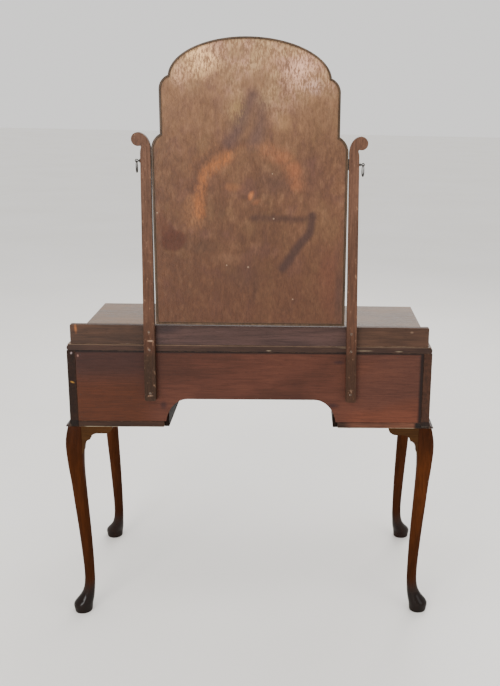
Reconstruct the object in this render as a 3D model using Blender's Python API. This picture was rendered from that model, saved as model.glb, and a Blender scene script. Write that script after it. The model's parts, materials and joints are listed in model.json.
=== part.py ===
"""Kneehole dressing table with a swing mirror.

Frame: metres, +Z up, the front faces -Y and +X is on the right as seen from the front.
The origin is on the floor, under the middle of the whole piece.
Left and right in the names are as seen from the front.
"""
import bmesh
import bpy
from math import acos, asin, cos, degrees, pi, radians, sin
from mathutils import Vector

# ---------------------------------------------------------------- driving dimensions
GAP = 0.0003                     # left between pieces that touch

OVERALL_DEPTH = 0.492            # front toes to the rear of the mirror standards
STANDARD_T = 0.0165              # thickness of the mirror standards
Y_BACK = OVERALL_DEPTH / 2 - STANDARD_T - GAP   # rear plane of the carcass
CARCASS_D = 0.4505
Y_FRONT = Y_BACK - CARCASS_D     # front plane of the carcass
CARCASS_HALF_W = 0.4622
CARCASS_Z = 0.5383               # underside of the carcass
TOP_HALF_W = 0.4617
TOP_D = 0.457
TOP_Z = 0.758                    # working surface
TOP_T = 0.0165
TOP_EDGE_R = 0.0055              # rounding of the slab's front and end edges
UNDER_TOP = TOP_Z - TOP_T

SIDE_T = 0.021                   # side panels
WALL_T = 0.012                   # kneehole walls
WALL_IN = 0.211                  # kneehole half width
BOTTOM_T = 0.0155                # pedestal bottoms
BACK_T = 0.006
GALLERY_HALF_W = 0.4512
GALLERY_Z = 0.809
GALLERY_T = 0.015
GALLERY_CORNER = 0.0035          # rounding of its upper ends

ARCH_Z = 0.6145                  # underside of apron and back panel over the kneehole
ARCH_FLAT = 0.162                # half width of the level stretch
ARCH_A = 0.057                   # quarter ellipse at each end: half width and height
ARCH_B = 0.0735
CEILING_Z = 0.620
CEILING_T = 0.012
APRON_T = 0.018

MOULDING_OUT = 0.0107
MOULDING_H = 0.0152
MOULDING_FILLET = 0.0015         # flat above the hollow
MOULDING_LIP = 0.0035            # flat below it

STANDARD_IN = 0.2418             # inner edge at the foot
STANDARD_W = 0.0245
STANDARD_LEAN = 0.0060           # inward lean from foot to scroll
STANDARD_Z0 = 0.6145
STANDARD_Z1 = 1.242
STANDARD_CHAMFER = 0.003
SCROLL_R = 0.016
SCROLL_X = 0.2648
SCROLL_Z = 1.2660

PIVOT_Z = 1.2155
Y_PIVOT = Y_BACK + GAP + STANDARD_T / 2
MIRROR_T = 0.016
MIRROR_Z0 = 0.8155
MIRROR_HALF_W = 0.2340
MIRROR_MID_W = 0.2128            # half width above the first shoulder
MIRROR_ARCH_W = 0.1914           # half width of the arched head
SHOULDER_Z = 1.2795
SHOULDER_TURN = 60.0             # degrees that the lower shoulder's arc takes
ARCH_FOOT_Z = 1.4140
ARCH_FOOT_TURN = 67.0
ARCH_CENTRE_Z = 1.408
MIRROR_TOP_Z = 1.504
STEM_R = 0.0024                  # clamp screws of the mirror
STEM_HOLE_R = 0.0033             # its hole through the standard
STEM_END_HOLE_R = 0.0030         # and in the plate and frame
STEM_EYE_X = 0.2700
COLLAR_X = 0.2620
COLLAR_R = 0.0046
COLLAR_T = 0.0016
STEM_IN_FRAME = 0.0034           # how far the screw's end reaches into the frame
PLATE_T, PLATE_H, PLATE_D = 0.0010, 0.026, 0.013   # pivot plate: thick, high, deep
EYE_R = 0.0044
EYE_T = 0.0018
EYE_HOLE_R = 0.0021
RING_HALF_W = 0.0062
RING_HALF_H = 0.0136
RING_WIRE = 0.0008
RING_STEPS = 28
RING_TURN = {"right": -25.0, "left": 25.0}

RIM_T = 0.0045
LIP_W = 0.016
LIP_T = 0.0060
GLASS_T = 0.004
BOARD_T = 0.0045

LEG_TOP_IN = 0.4353              # flat inner face that the brackets meet
KNEE_OUT = 0.4787                # widest point of the knee
DOWEL_R = 0.005
DOWEL_H = 0.024
DOWEL_SIDES = 12
BRACKET_T = 0.020
BRACKET_L = 0.0785
BRACKET_H = 0.066
BRACKET_FLAT = 0.0198            # height of its level stretch
BRACKET_TIP = 0.0035             # width left at the foot of the lower hollow
BRACKET_SET_IN = 0.0025          # behind the faces of the leg's top

DRAWER_FRONT_T = 0.018
DRAWER_SIDE_T = 0.009
DRAWER_BOTTOM_T = 0.005
DRAWER_PLAY = 0.0015
DRAWER_TOP_Z = 0.739
DRAWER_SIDE_TOP = 0.724
DRAWER_BACK_DROP = 0.004         # of the back below the sides
DRAWER_FLOOR_UP = 0.006          # of the bottom board above the sides' lower edges
DRAWER_REAR_PLAY = 0.012
HANDLE_UP = 0.006                # of the handles above the middle of a front
HANDLE_SPAN = 0.030              # half distance between handle posts
CENTRE_HANDLE_X = 0.110          # handles of the wide middle drawer
BAIL_WIRE = 0.0016
BAIL_DROP = 0.025
BAIL_PLAY = 0.0004               # round the wire in the posts
BAIL_SWELL = 0.0085              # of the bail beyond each post
POST_OUT = 0.0085                # bail pivot in front of the drawer front
POST_R, POST_NECK_R, POST_TIP_R = 0.0041, 0.0030, 0.0022

# height, outer face, inner face of a cabriole leg as seen from the back, corner rounding
LEG_SECTIONS = (
    (CARCASS_Z - GAP, 0.4700, LEG_TOP_IN, 0.12),
    (0.5220, 0.4740, LEG_TOP_IN, 0.18),
    (0.5000, 0.4777, LEG_TOP_IN, 0.24),
    (0.4790, KNEE_OUT, LEG_TOP_IN, 0.28),
    (0.4550, 0.4778, 0.4362, 0.30),
    (0.4200, 0.4751, 0.4366, 0.33),
    (0.3850, 0.4714, 0.4352, 0.36),
    (0.3450, 0.4682, 0.4332, 0.40),
    (0.3050, 0.4651, 0.4311, 0.43),
    (0.2550, 0.4608, 0.4285, 0.46),
    (0.2050, 0.4569, 0.4264, 0.48),
    (0.1600, 0.4537, 0.4251, 0.50),
    (0.1200, 0.4515, 0.4245, 0.50),
    (0.0900, 0.4518, 0.4245, 0.50),
    (0.0680, 0.4551, 0.4255, 0.50),
    (0.0520, 0.4615, 0.4268, 0.50),
    (0.0390, 0.4702, 0.4285, 0.50),
    (0.0290, 0.4785, 0.4303, 0.50),
    (0.0215, 0.4829, 0.4320, 0.50),
    (0.0165, 0.4835, 0.4328, 0.50),
    (0.0100, 0.4824, 0.4334, 0.50),
    (0.0025, 0.4808, 0.4341, 0.50),
    (0.0000, 0.4797, 0.4353, 0.50),
)
LEG_CORNER = 0.4615              # the curve is measured from this half width
# way outwards, plane the curve starts from, share of the sideways curve taken along Y
LEG_STANCE = {"rear": (1, Y_BACK - 0.0045, 0.45), "front": (-1, Y_FRONT, 1.12)}

SIDES = ((1, "right"), (-1, "left"))

# ---------------------------------------------------------------- materials
FINISHES = {
    "mahogany_dark": ((0.060, 0.018, 0.010), 0.30, 0.0),
    "mahogany_panel": ((0.115, 0.040, 0.022), 0.45, 0.0),
    "mahogany_top": ((0.080, 0.032, 0.020), 0.25, 0.0),
    "standard_wood": ((0.155, 0.072, 0.045), 0.50, 0.0),
    "plywood": ((0.205, 0.105, 0.062), 0.50, 0.0),
    "rim_wood": ((0.030, 0.014, 0.010), 0.40, 0.0),
    "drawer_wood": ((0.330, 0.200, 0.110), 0.60, 0.0),
    "mirror_glass": ((0.800, 0.820, 0.820), 0.03, 1.0),
    "oxidised_metal": ((0.060, 0.050, 0.045), 0.45, 1.0),
    "brass": ((0.480, 0.330, 0.140), 0.35, 1.0),
}


def clear_scene():
    for obj in list(bpy.data.objects):
        bpy.data.objects.remove(obj)


def finish(name, node):
    """A Principled material of the node's own."""
    colour, roughness, metallic = FINISHES[name]
    material = bpy.data.materials.new(node + "_" + name)
    material.use_nodes = True
    shader = material.node_tree.nodes["Principled BSDF"]
    shader.inputs["Base Color"].default_value = (*colour, 1.0)
    shader.inputs["Roughness"].default_value = roughness
    shader.inputs["Metallic"].default_value = metallic
    return material


# ---------------------------------------------------------------- shared builders
def new_object(name, mesh, at, material, parent=None, smooth=False):
    """An object whose mesh is given around `at`, a world point."""
    obj = bpy.data.objects.new(name, mesh)
    bpy.context.collection.objects.link(obj)
    mesh.materials.clear()
    mesh.materials.append(finish(material, name))
    if smooth:
        mesh.shade_smooth()
        mesh.set_sharp_from_angle(angle=pi / 5)
    put(obj, at, parent)
    return obj


def put(obj, at, parent=None):
    obj["world_at"] = tuple(at)
    if parent is not None:
        obj.parent = parent
        at = Vector(at) - Vector(parent["world_at"])
    obj.location = at


def axis_empty(name, at, parent=None):
    empty = bpy.data.objects.new(name, None)
    bpy.context.collection.objects.link(empty)
    put(empty, at, parent)
    return empty


def mesh_from(bm, name):
    bmesh.ops.recalc_face_normals(bm, faces=bm.faces)
    mesh = bpy.data.meshes.new(name)
    bm.to_mesh(mesh)
    bm.free()
    return mesh


def add_loops(bm, loops, cap=True, closed=False):
    """Skin a row of point loops of equal length; cap the ends, or join last to first."""
    rings = [[bm.verts.new(point) for point in loop] for loop in loops]
    pairs = list(zip(rings, rings[1:]))
    if closed:
        pairs.append((rings[-1], rings[0]))
    for low, high in pairs:
        for i in range(len(low)):
            j = (i + 1) % len(low)
            bm.faces.new((low[i], low[j], high[j], high[i]))
    if cap:
        bm.faces.new(rings[0])
        bm.faces.new(rings[-1])


def loft(name, loops, at, material, parent=None, smooth=False, closed=False):
    at = Vector(at)
    local = [[Vector(point) - at for point in loop] for loop in loops]
    bm = bmesh.new()
    add_loops(bm, local, cap=not closed, closed=closed)
    return new_object(name, mesh_from(bm, name), at, material, parent, smooth)


def board(name, low, high, material, parent=None, edge=0.0008, at=None):
    """A board between two corners, its edges eased by a small bevel."""
    low, high = Vector(low), Vector(high)
    at = (low + high) / 2 if at is None else Vector(at)
    bm = bmesh.new()
    bmesh.ops.create_cube(bm, size=1.0)
    bmesh.ops.scale(bm, vec=high - low, verts=bm.verts)
    bmesh.ops.translate(bm, vec=(low + high) / 2 - at, verts=bm.verts)
    obj = new_object(name, mesh_from(bm, name), at, material, parent)
    if edge:
        ease(obj, edge, 1)
    return obj


def ease(obj, width, segments):
    bevel = obj.modifiers.new("eased_edges", "BEVEL")
    bevel.width = width
    bevel.segments = segments
    bevel.limit_method = "ANGLE"
    bevel.angle_limit = pi / 4


def extrude_outline(name, outline, y0, y1, material, parent=None, at=(0, 0, 0), smooth=False):
    """An XZ outline given thickness along Y."""
    loops = [[(x, y, z) for x, z in outline] for y in (y0, y1)]
    return loft(name, loops, at, material, parent, smooth)


def tube_x(radius, x0, x1, centre, sides=16):
    """A plain cylinder mesh along X, as loops for add_loops."""
    _, cy, cz = centre
    return [[(x, cy + radius * cos(2 * pi * k / sides), cz + radius * sin(2 * pi * k / sides))
             for k in range(sides)] for x in (x0, x1)]


def apply_boolean(obj, loops, operation):
    """Cut or join a lofted tool, given in world points, into an object."""
    tool = loft("tool", loops, (0, 0, 0), "brass")
    bpy.context.view_layer.update()
    modifier = obj.modifiers.new("tool", "BOOLEAN")
    modifier.operation = operation
    modifier.solver = "EXACT"
    modifier.object = tool
    with bpy.context.temp_override(object=obj, active_object=obj):
        bpy.ops.object.modifier_apply(modifier=modifier.name)
    mesh = tool.data
    bpy.data.objects.remove(tool)
    bpy.data.meshes.remove(mesh)


def cut(obj, loops):
    apply_boolean(obj, loops, "DIFFERENCE")


def join(obj, loops):
    apply_boolean(obj, loops, "UNION")


def arc(cx, cz, a, b, start, stop, steps):
    """Points on an ellipse, angles in degrees, ends included."""
    out = []
    for k in range(steps + 1):
        t = radians(start + (stop - start) * k / steps)
        out.append((cx + a * cos(t), cz + b * sin(t)))
    return out


def disc_loop(radius, y, cx, cz, sides=20):
    return [(cx + radius * cos(2 * pi * k / sides), y, cz + radius * sin(2 * pi * k / sides))
            for k in range(sides)]


def mirrored(points):
    """The same XZ points on the other side, in the reverse order."""
    return [(-x, z) for x, z in reversed(points)]


# ---------------------------------------------------------------- carcass
def make_top():
    low = (-TOP_HALF_W, Y_BACK - TOP_D, UNDER_TOP)
    obj = board("top_board", low, (TOP_HALF_W, Y_BACK, TOP_Z), "mahogany_top", edge=0)
    bm = bmesh.new()
    bm.from_mesh(obj.data)
    level = [e for e in bm.edges if abs(e.verts[0].co.z - e.verts[1].co.z) < GAP]
    rounded = [e for e in level if min(v.co.y for v in e.verts) < 0]
    bmesh.ops.bevel(bm, geom=rounded, offset=TOP_EDGE_R, segments=3, profile=0.5,
                    affect="EDGES")
    bm.to_mesh(obj.data)
    bm.free()


def make_gallery():
    half, corner = GALLERY_HALF_W, GALLERY_CORNER
    right = [(half, TOP_Z + GAP)]
    right += arc(half - corner, GALLERY_Z - corner, corner, corner, 0, 90, 4)
    outline = right + mirrored(right)
    obj = extrude_outline("gallery_board", outline, Y_BACK - GALLERY_T, Y_BACK, "mahogany_dark")
    ease(obj, 0.001, 2)


def kneehole_corner(start):
    """The quarter ellipse of the kneehole at +X, from an angle in degrees to the level."""
    return arc(ARCH_FLAT, ARCH_Z - ARCH_B, ARCH_A, ARCH_B, start, 90, 12)


def make_back_panel():
    half = CARCASS_HALF_W - SIDE_T - GAP
    z0, z1 = CARCASS_Z + BOTTOM_T + GAP, UNDER_TOP - GAP
    corner = kneehole_corner(degrees(asin((z0 - ARCH_Z + ARCH_B) / ARCH_B)))
    outline = corner + mirrored(corner) + [(-half, z0), (-half, z1), (half, z1), (half, z0)]
    obj = extrude_outline("back_panel", outline, Y_BACK - BACK_T, Y_BACK, "mahogany_panel")
    ease(obj, 0.0005, 1)


def make_front_apron():
    half, top = WALL_IN - GAP, CEILING_Z + CEILING_T
    corner = kneehole_corner(degrees(acos((half - ARCH_FLAT) / ARCH_A)))
    outline = corner + mirrored(corner) + [(-half, top), (half, top)]
    obj = extrude_outline("front_apron", outline, Y_FRONT, Y_FRONT + APRON_T, "mahogany_dark")
    ease(obj, 0.0005, 1)


def make_pedestal(side, word):
    z1 = UNDER_TOP - GAP
    outer, inner = CARCASS_HALF_W, CARCASS_HALF_W - SIDE_T
    wall_out = WALL_IN + WALL_T

    def span(a, b):
        return sorted((side * a, side * b))

    x0, x1 = span(inner, outer)
    panel = board("side_panel_" + word, (x0, Y_FRONT, CARCASS_Z), (x1, Y_BACK, z1),
                  "mahogany_dark", edge=0)
    for end in ("front", "rear"):
        below, above = CARCASS_Z - 0.01, CARCASS_Z + DOWEL_H + 0.002
        cut(panel, dowel_loops(end, side, DOWEL_R + GAP, below, above))
    ease(panel, 0.0006, 1)

    x0, x1 = span(WALL_IN, wall_out)
    board("kneehole_wall_" + word, (x0, Y_FRONT, CARCASS_Z),
          (x1, Y_BACK - BACK_T - GAP, z1), "mahogany_dark", edge=0.0006)

    x0, x1 = span(wall_out + GAP, inner - GAP)
    board("pedestal_bottom_" + word, (x0, Y_FRONT, CARCASS_Z),
          (x1, Y_BACK, CARCASS_Z + BOTTOM_T), "mahogany_dark", edge=0.0006)
    make_base_moulding(side, word)


def make_ceiling():
    half = WALL_IN - GAP
    low = (-half, Y_FRONT + APRON_T + GAP, CEILING_Z)
    high = (half, Y_BACK - BACK_T - GAP, CEILING_Z + CEILING_T)
    board("kneehole_ceiling", low, high, "mahogany_panel", edge=0.0006)


def make_base_moulding(side, word):
    """A cavetto, mitred at the front corner, along the side and the pedestal front."""
    fillet, lip = MOULDING_FILLET, MOULDING_LIP
    curve = [(MOULDING_OUT - (MOULDING_OUT - fillet) * cos(t * pi / 12),
              MOULDING_H - (MOULDING_H - lip) * sin(t * pi / 12)) for t in range(7)]
    profile = [(0.0, MOULDING_H)] + curve + [(MOULDING_OUT, 0.0), (0.0, 0.0)]
    x_side, y_front = CARCASS_HALF_W + GAP, Y_FRONT - GAP
    loops = []
    for station in ("rear", "corner", "inner"):
        loop = []
        for out, up in profile:
            x = WALL_IN if station == "inner" else x_side + out
            y = Y_BACK if station == "rear" else y_front - out
            loop.append((side * x, y, CARCASS_Z + up))
        loops.append(loop)
    loft("base_moulding_" + word, loops, (side * x_side, y_front, CARCASS_Z), "mahogany_dark")


# ---------------------------------------------------------------- legs
def leg_box(end, outer, inner):
    """Y range of a leg section whose faces seen from the back are at outer and inner."""
    way, plane, share = LEG_STANCE[end]
    far = plane + way * share * (outer - LEG_CORNER)
    near = far - way * (outer - inner)
    if inner == LEG_TOP_IN:
        knee = plane + way * share * (KNEE_OUT - LEG_CORNER)
        near = knee - way * (KNEE_OUT - LEG_TOP_IN)
    return min(near, far), max(near, far)


def leg_top_centre(end):
    _, outer, inner, _ = LEG_SECTIONS[0]
    y0, y1 = leg_box(end, outer, inner)
    return (CARCASS_HALF_W - SIDE_T / 2), (y0 + y1) / 2


def rounded_section(x0, x1, y0, y1, share, z, per_corner=6):
    """A rectangle with round corners; share 0.5 makes it an ellipse."""
    rx, ry = (x1 - x0) * share, (y1 - y0) * share
    centres = ((x1 - rx, y1 - ry, 0), (x0 + rx, y1 - ry, 90),
               (x0 + rx, y0 + ry, 180), (x1 - rx, y0 + ry, 270))
    loop = []
    for cx, cy, start in centres:
        for k in range(per_corner):
            t = radians(start + 90 * (k + 0.5) / per_corner)
            loop.append((cx + rx * cos(t), cy + ry * sin(t), z))
    return loop


def dowel_loops(end, side, radius, z0, z1):
    """The dowel between a leg and the side panel above it, from height z0 to z1."""
    cx, cy = leg_top_centre(end)
    turns = [2 * pi * k / DOWEL_SIDES for k in range(DOWEL_SIDES)]
    return [[(side * cx + radius * cos(t), cy + radius * sin(t), z) for t in turns]
            for z in (z0, z1)]


def make_leg(end, side, word):
    name = "leg_%s_%s" % (end, word)
    loops = []
    for z, outer, inner, share in LEG_SECTIONS:
        y0, y1 = leg_box(end, outer, inner)
        loop = rounded_section(inner, outer, y0, y1, share, z)
        loops.append([(side * x, y, z) for x, y, z in loop])
    cx, cy = leg_top_centre(end)
    leg = loft(name, loops, (side * cx, cy, CARCASS_Z), "mahogany_dark", smooth=True)
    rooted = CARCASS_Z - 0.02
    join(leg, dowel_loops(end, side, DOWEL_R, rooted, CARCASS_Z + DOWEL_H))


def bracket_outline():
    """Run away from the leg and height below the carcass, with the leg face at run 0."""
    step = 0.0222                # where the lower hollow ends and the upper one starts
    hollow = 0.0150              # radius of the upper hollow
    lower = arc(step, -BRACKET_H, step - BRACKET_TIP, 0.0290, 180, 90, 6)
    upper = arc(step + hollow, -BRACKET_FLAT - hollow, hollow, hollow, 180, 90, 5)
    end = arc(BRACKET_L - BRACKET_FLAT, 0.0, BRACKET_FLAT, BRACKET_FLAT, -90, 0, 6)
    return [(0.0, 0.0), (0.0, -BRACKET_H)] + lower + upper + end


def make_bracket(name, leg_xy, run, across):
    """run is the unit way from the leg along the carcass, across the bracket's thickness."""
    origin = Vector((leg_xy[0], leg_xy[1], CARCASS_Z - GAP))
    run, across = Vector(run), Vector(across)
    loops = []
    for step in (0.0, BRACKET_T):
        loops.append([origin + run * (GAP + s) + across * step + Vector((0, 0, h))
                      for s, h in bracket_outline()])
    obj = loft(name, loops, origin, "mahogany_dark")
    ease(obj, 0.0010, 2)


def make_leg_brackets(end, side, word):
    _, outer, inner, _ = LEG_SECTIONS[0]
    y0, y1 = leg_box(end, outer, inner)
    face = y1 - BRACKET_SET_IN if end == "rear" else y0 + BRACKET_SET_IN
    inward = -1 if end == "rear" else 1
    make_bracket("knee_bracket_%s_%s_across" % (end, word), (side * LEG_TOP_IN, face),
                 (-side, 0, 0), (0, inward, 0))
    start = y0 if end == "rear" else y1
    make_bracket("knee_bracket_%s_%s_side" % (end, word),
                 (side * (outer - BRACKET_SET_IN), start), (0, inward, 0), (-side, 0, 0))


# ---------------------------------------------------------------- mirror and standards
def lean(points):
    """Lean an XZ outline of a standard inwards as it rises."""
    rise = STANDARD_Z1 - STANDARD_Z0
    return [(x - STANDARD_LEAN * max(0.0, z - STANDARD_Z0) / rise, z) for x, z in points]


def standard_outline():
    """A flat bar, chamfered at its foot, that curls outwards in a scroll at its head."""
    outer, chamfer = STANDARD_IN + STANDARD_W, STANDARD_CHAMFER
    neck_start = STANDARD_Z1 - 0.010
    foot = [(STANDARD_IN, STANDARD_Z1), (STANDARD_IN, STANDARD_Z0 + chamfer),
            (STANDARD_IN + chamfer, STANDARD_Z0), (outer - chamfer, STANDARD_Z0),
            (outer, STANDARD_Z0 + chamfer), (outer, neck_start)]
    foot = lean(foot)
    neck_x = foot[-1][0]
    neck = [(neck_x - 0.0006, SCROLL_Z - 0.0245), (neck_x - 0.0022, SCROLL_Z - 0.0190)]
    curl = arc(SCROLL_X, SCROLL_Z, SCROLL_R, SCROLL_R, -108, 90, 14)
    reach = SCROLL_X - foot[0][0]
    rise = SCROLL_Z + SCROLL_R - STANDARD_Z1
    back = arc(SCROLL_X, STANDARD_Z1, reach, rise, 90, 180, 7)
    return foot + neck + curl + back[1:-1]


def make_standard(side, word):
    outline = [(side * x, z) for x, z in standard_outline()]
    y0, y1 = Y_BACK + GAP, Y_BACK + GAP + STANDARD_T
    obj = extrude_outline("mirror_standard_" + word, outline, y0, y1, "standard_wood")
    through = side * (STANDARD_IN - STANDARD_W), side * (STANDARD_IN + 2 * STANDARD_W)
    cut(obj, tube_x(STEM_HOLE_R, *through, (0, Y_PIVOT, PIVOT_Z), 12))
    ease(obj, 0.0010, 1)


def shoulder(inner, outer, top, turn, inset):
    """Arc from the outer half width up to the inner one, moved inwards by `inset`."""
    radius = (outer - inner) / (1 - cos(radians(turn)))
    cx, cz = outer - radius, top - radius * sin(radians(turn))
    reach = max((inner - inset - cx) / (radius - inset), -0.05)
    points = arc(cx, cz, radius - inset, radius - inset, 0, degrees(acos(reach)), 6)
    return points[:-1] + [(inner - inset, points[-1][1])]


def mirror_outline(inset):
    """Outline of the mirror, each edge moved inwards by `inset`; arcs keep their centres."""
    right = [(MIRROR_HALF_W - inset, MIRROR_Z0 + inset)]
    right += shoulder(MIRROR_MID_W, MIRROR_HALF_W, SHOULDER_Z, SHOULDER_TURN, inset)
    rise = MIRROR_TOP_Z - ARCH_CENTRE_Z
    foot = asin((ARCH_FOOT_Z - ARCH_CENTRE_Z) / rise)
    right += shoulder(MIRROR_ARCH_W * cos(foot), MIRROR_MID_W, ARCH_FOOT_Z, ARCH_FOOT_TURN, inset)
    arch = arc(0.0, ARCH_CENTRE_Z, MIRROR_ARCH_W - inset, rise - inset,
               degrees(foot), 180 - degrees(foot), 28)
    return right + arch[1:-1] + mirrored(right)


def mirror_loops(profile):
    return [[(x, y, z) for x, z in mirror_outline(inset)] for inset, y in profile]


def make_mirror():
    axis = axis_empty("mirror_tilt_axis", (0, Y_PIVOT, PIVOT_Z))
    at = (0, Y_PIVOT, PIVOT_Z)
    y_rear, y_front = Y_PIVOT + MIRROR_T / 2, Y_PIVOT - MIRROR_T / 2
    y_seat = y_front + LIP_T
    soft, slope_w, slope_t = 0.0018, 0.0060, 0.0035   # front arris, and slope to the glass
    profile = [(0.0, y_rear), (0.0, y_front + soft), (soft * 0.3, y_front + soft * 0.3),
               (soft, y_front), (LIP_W - slope_w, y_front), (LIP_W, y_front + slope_t),
               (LIP_W, y_seat), (RIM_T, y_seat), (RIM_T, y_rear)]
    frame = loft("mirror_frame", mirror_loops(profile), at, "rim_wood", axis, closed=True)
    for side in (1, -1):
        bottom, outside = MIRROR_HALF_W - STEM_IN_FRAME - 0.0004, MIRROR_HALF_W + RIM_T
        cut(frame, tube_x(STEM_END_HOLE_R, side * bottom, side * outside, at, 12))

    play = 0.0005                # round the glass and the back board in the frame
    y_glass = y_seat + GAP
    loops = mirror_loops([(RIM_T + play, y_glass), (RIM_T + play, y_glass + GLASS_T)])
    loft("mirror_glass", loops, at, "mirror_glass", axis)
    y_board = y_glass + GLASS_T + GAP
    loops = mirror_loops([(RIM_T + play, y_board), (RIM_T + play, y_board + BOARD_T)])
    loft("mirror_back_board", loops, at, "plywood", axis)
    for side, word in SIDES:
        make_pivot_plate(axis, side, word)
        make_pivot_screw(side, word)


def make_pivot_plate(axis, side, word):
    """A thin upright plate on the frame's side, with the hole for the clamp screw's end."""
    x0, half_h, half_d = MIRROR_HALF_W + GAP, PLATE_H / 2, PLATE_D / 2
    low = (side * x0, Y_PIVOT - half_d, PIVOT_Z - half_h)
    high = (side * (x0 + PLATE_T), Y_PIVOT + half_d, PIVOT_Z + half_h)
    if side < 0:
        low, high = (high[0], *low[1:]), (low[0], *high[1:])
    plate = board("pivot_plate_" + word, low, high, "oxidised_metal", axis, edge=0,
                  at=(side * x0, Y_PIVOT, PIVOT_Z))
    through = side * (x0 - RIM_T), side * (x0 + RIM_T)
    cut(plate, tube_x(STEM_END_HOLE_R, *through, (0, Y_PIVOT, PIVOT_Z), 12))


def make_pivot_screw(side, word):
    """A clamp screw along X with a collar, and a flat eye that carries the drop ring."""
    at = Vector((side * STEM_EYE_X, Y_PIVOT, PIVOT_Z))
    turn = axis_empty("pivot_screw_axis_" + word, at)
    slope, wall = 0.0002, 0.0006     # collar's edges; metal left before the eye's hole
    profile = [(MIRROR_HALF_W - STEM_IN_FRAME, STEM_R), (COLLAR_X, STEM_R),
               (COLLAR_X + slope, COLLAR_R), (COLLAR_X + COLLAR_T - slope, COLLAR_R),
               (COLLAR_X + COLLAR_T, STEM_R), (STEM_EYE_X - EYE_HOLE_R - wall, STEM_R)]
    loops = [tube_x(r, side * x, side * x, at, 14)[0] for x, r in profile]
    screw = loft("pivot_screw_" + word, loops, at, "oxidised_metal", turn, smooth=True)
    rim = EYE_R - wall
    eye = [disc_loop(r, Y_PIVOT + y, at.x, at.z, 18) for r, y in
           ((rim, -EYE_T / 2), (EYE_R, -EYE_T / 4), (EYE_R, EYE_T / 4), (rim, EYE_T / 2))]
    join(screw, eye)
    cut(screw, [disc_loop(EYE_HOLE_R, Y_PIVOT + y, at.x, at.z, 14) for y in (-EYE_R, EYE_R)])
    make_drop_ring(side, word, turn)


def make_drop_ring(side, word, turn):
    """An oval ring through the screw's eye, turned about the upright by RING_TURN."""
    at = Vector((side * STEM_EYE_X, Y_PIVOT, PIVOT_Z))
    swing = axis_empty("drop_ring_axis_" + word, at, turn)
    along = Vector((sin(radians(RING_TURN[word])), cos(radians(RING_TURN[word])), 0))
    across = Vector((along.y, -along.x, 0))
    up = Vector((0, 0, 1))
    loops = []
    for k in range(RING_STEPS):
        t = 2 * pi * k / RING_STEPS
        centre = along * RING_HALF_W * sin(t) + up * RING_HALF_H * (cos(t) - 1)
        out = (along * sin(t) / RING_HALF_W + up * cos(t) / RING_HALF_H).normalized()
        loops.append([at + centre + RING_WIRE * (out * cos(a * pi / 4) + across * sin(a * pi / 4))
                      for a in range(8)])
    loft("drop_ring_" + word, loops, at, "oxidised_metal", swing, smooth=True, closed=True)


# ---------------------------------------------------------------- drawers and handles
def make_drawer(word, x0, x1, z_rest, handles):
    """Front, two sides, back and bottom, on an empty at the front's middle."""
    y_face, y_box = Y_FRONT, Y_FRONT + DRAWER_FRONT_T
    y_end = Y_BACK - BACK_T - DRAWER_REAR_PLAY
    slide = axis_empty("drawer_slide_" + word, ((x0 + x1) / 2, y_face, z_rest))
    fx0, fx1 = x0 + DRAWER_PLAY, x1 - DRAWER_PLAY
    name = "drawer_" + word
    board(name + "_front", (fx0, y_face, z_rest + DRAWER_PLAY), (fx1, y_box, DRAWER_TOP_Z),
          "mahogany_dark", slide, edge=0.0012)
    z0, y0 = z_rest + GAP, y_box + GAP
    ix0, ix1 = fx0 + DRAWER_SIDE_T, fx1 - DRAWER_SIDE_T
    for end, a, b in (("left", fx0, ix0), ("right", ix1, fx1)):
        board("%s_side_%s" % (name, end), (a, y0, z0), (b, y_end, DRAWER_SIDE_TOP),
              "drawer_wood", slide, edge=0.0006)
    ix0, ix1 = ix0 + GAP, ix1 - GAP
    z_floor = z0 + DRAWER_FLOOR_UP
    board(name + "_bottom", (ix0, y0, z_floor), (ix1, y_end, z_floor + DRAWER_BOTTOM_T),
          "drawer_wood", slide, edge=0)
    board(name + "_back", (ix0, y_end - DRAWER_SIDE_T, z_floor + DRAWER_BOTTOM_T + GAP),
          (ix1, y_end, DRAWER_SIDE_TOP - DRAWER_BACK_DROP), "drawer_wood", slide,
          edge=0.0006)
    for handle, x in handles:
        make_handle(handle, x, (z_rest + DRAWER_TOP_Z) / 2 + HANDLE_UP, slide)


def make_handle(word, x, z, slide):
    """A shaped back plate with two posts, and a bail that swings in them."""
    y_plate = Y_FRONT - GAP
    half_w, half_h, waist, lobe, thick = 0.042, 0.013, 0.016, 0.009, 0.0014
    right = [(waist, -half_h)] + arc(half_w - lobe, 0.0, lobe, lobe, -60, 60, 6)
    right += [(waist, half_h)]
    outline = [(x + px, z + pz) for px, pz in right + mirrored(right)]
    loops = [[(px, y, pz) for px, pz in outline] for y in (y_plate, y_plate - thick)]
    plate = loft("handle_plate_" + word, loops, (x, y_plate, z), "brass", slide)
    for side in (1, -1):
        cx = x + side * HANDLE_SPAN
        y_tip = Y_FRONT - POST_OUT - POST_R
        post = ((POST_NECK_R, y_plate - thick / 2), (POST_NECK_R, y_tip + 0.0060),
                (POST_R, y_tip + 0.0045), (POST_R, y_tip + 0.0020), (POST_TIP_R, y_tip))
        join(plate, [disc_loop(r, y, cx, z, 14) for r, y in post])
        hole = (0, Y_FRONT - POST_OUT, z)
        reach = 2 * POST_R
        cut(plate, tube_x(BAIL_WIRE + BAIL_PLAY, cx - reach, cx + reach, hole, 12))
    make_bail(word, x, z, slide)


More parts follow.
